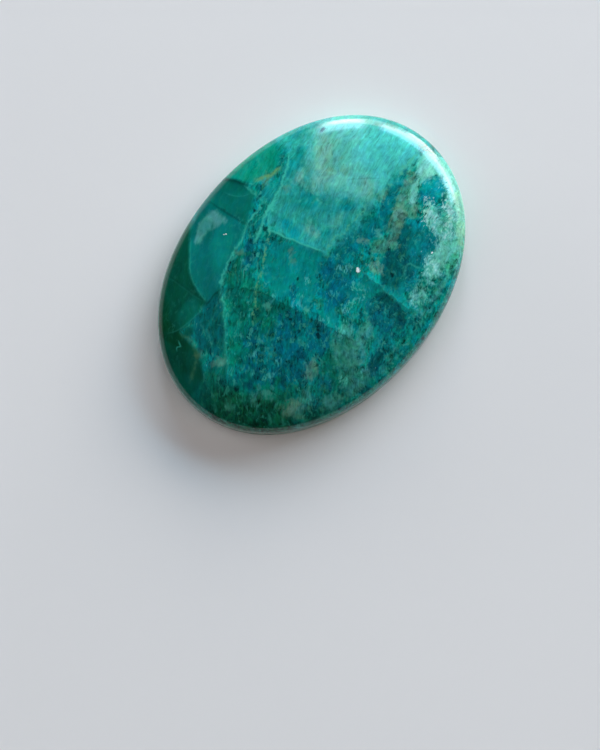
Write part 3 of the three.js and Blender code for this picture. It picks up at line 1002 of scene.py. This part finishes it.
# azimuth and elevation in degrees as seen from the stone, 0 along +X; distance and size in metres
lights = {
    "windowGlow": {"azimuth": 9, "elevation": 12, "distance": 1.2, "size": (2.09, 0.51),
                   "power": 11.7, "colour": (1.0, 1.0, 0.98), "glossy": True},
    "windowPane": {"azimuth": 1, "elevation": 19.5, "distance": 1.2, "size": (1.09, 0.26),
                   "power": 6.6, "colour": (0.97, 0.99, 1.0), "glossy": True},
    "windowSill": {"azimuth": 5.5, "elevation": 6.5, "distance": 1.2, "size": (0.36, 0.27),
                   "power": 2.8, "colour": (1.0, 0.98, 0.9), "glossy": True},
    "windowSky": {"azimuth": 1, "elevation": 29.5, "distance": 1.2, "size": (1.0, 0.17),
                  "power": 6.0, "colour": (0.42, 0.76, 1.0), "glossy": True},
    "cornerPane": {"azimuth": 41, "elevation": 10, "distance": 1.2, "size": (0.27, 0.34),
                   "power": 2.6, "colour": (1.0, 0.99, 0.92), "glossy": True},
    "cornerSky": {"azimuth": 42, "elevation": 25.5, "distance": 1.2, "size": (0.3, 0.32),
                  "power": 2.8, "colour": (0.45, 0.74, 1.0), "glossy": True},
    "coolFill": {"azimuth": 115, "elevation": 50, "distance": 1.6, "size": (1.6, 1.6),
                 "power": 6.2, "colour": (0.9, 0.95, 1.0), "glossy": False},
    "warmFill": {"azimuth": -75, "elevation": 55, "distance": 1.6, "size": (1.6, 1.6),
                 "power": 5.3, "colour": (1.0, 0.95, 0.91), "glossy": False},
    "rimFill": {"azimuth": 97, "elevation": 6, "distance": 1.2, "size": (0.9, 0.2),
                "power": 4.6, "colour": (0.92, 0.97, 1.0), "glossy": False},
    # under the floor, so it lights nothing but the back
    "backFill": {"azimuth": 150, "elevation": -55, "distance": 1.2, "size": (1.2, 1.2),
                 "power": 9, "colour": (1.0, 1.0, 1.0), "glossy": True},
}
worldLook = {"colour": (0.8, 0.9, 1.0, 1.0), "strength": 0.02}


def layFloor():
    bm = bmesh.new()
    sides = floorLook["sides"]
    opening = bmesh.ops.create_circle(bm, segments=sides, radius=mm)["verts"]
    inset = stone["backBevel"] + floorLook["underStone"]
    halfSizes = (stone["length"] / 2 - inset, stone["width"] / 2 - inset)
    bmesh.ops.scale(bm, verts=opening, vec=(*halfSizes, 1))
    bmesh.ops.create_circle(bm, segments=sides, radius=floorLook["size"])
    bmesh.ops.bridge_loops(bm, edges=bm.edges)
    bmesh.ops.recalc_face_normals(bm, faces=bm.faces)
    mesh = bpy.data.meshes.new("floor")
    bm.to_mesh(mesh)
    bm.free()
    floor = bpy.data.objects.new("floor", mesh)
    material = bpy.data.materials.new("paleFloor")
    material.use_nodes = True
    shader = material.node_tree.nodes["Principled BSDF"]
    shader.inputs["Base Color"].default_value = floorLook["colour"]
    shader.inputs["Roughness"].default_value = floorLook["roughness"]
    shader.inputs["Specular IOR Level"].default_value = floorLook["specular"]
    mesh.materials.append(material)
    bpy.context.scene.collection.objects.link(floor)


def hangLight(name, setting):
    azimuth = math.radians(setting["azimuth"])
    elevation = math.radians(setting["elevation"])
    toward = Vector((math.cos(azimuth) * math.cos(elevation),
                     math.sin(azimuth) * math.cos(elevation), math.sin(elevation)))
    data = bpy.data.lights.new(name, "AREA")
    data.shape = "RECTANGLE"
    data.size, data.size_y = setting["size"]
    data.energy = setting["power"]
    data.color = setting["colour"]
    lamp = bpy.data.objects.new(name, data)
    lamp.location = toward * setting["distance"]
    lamp.rotation_euler = toward.to_track_quat("Z", "Y").to_euler()
    lamp.visible_camera = False
    lamp.visible_glossy = setting["glossy"]
    bpy.context.scene.collection.objects.link(lamp)


def setWorld():
    world = bpy.data.worlds.new("studio")
    world.use_nodes = True
    background = world.node_tree.nodes["Background"]
    background.inputs["Color"].default_value = worldLook["colour"]
    background.inputs["Strength"].default_value = worldLook["strength"]
    bpy.context.scene.world = world


placeCamera()
print("camera placed")
piece = buildStone()
print("stone turned:", len(piece.data.polygons), "faces")
piece.data.materials.append(stoneMaterial())
print("stone coloured:", len(minerals), "minerals and", len(seams), "seams")
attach(piece, "root")
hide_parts("cabochon")
layFloor()
for name, setting in lights.items():
    hangLight(name, setting)
setWorld()
bpy.context.scene.view_settings.view_transform = "Standard"
print("stage lit")
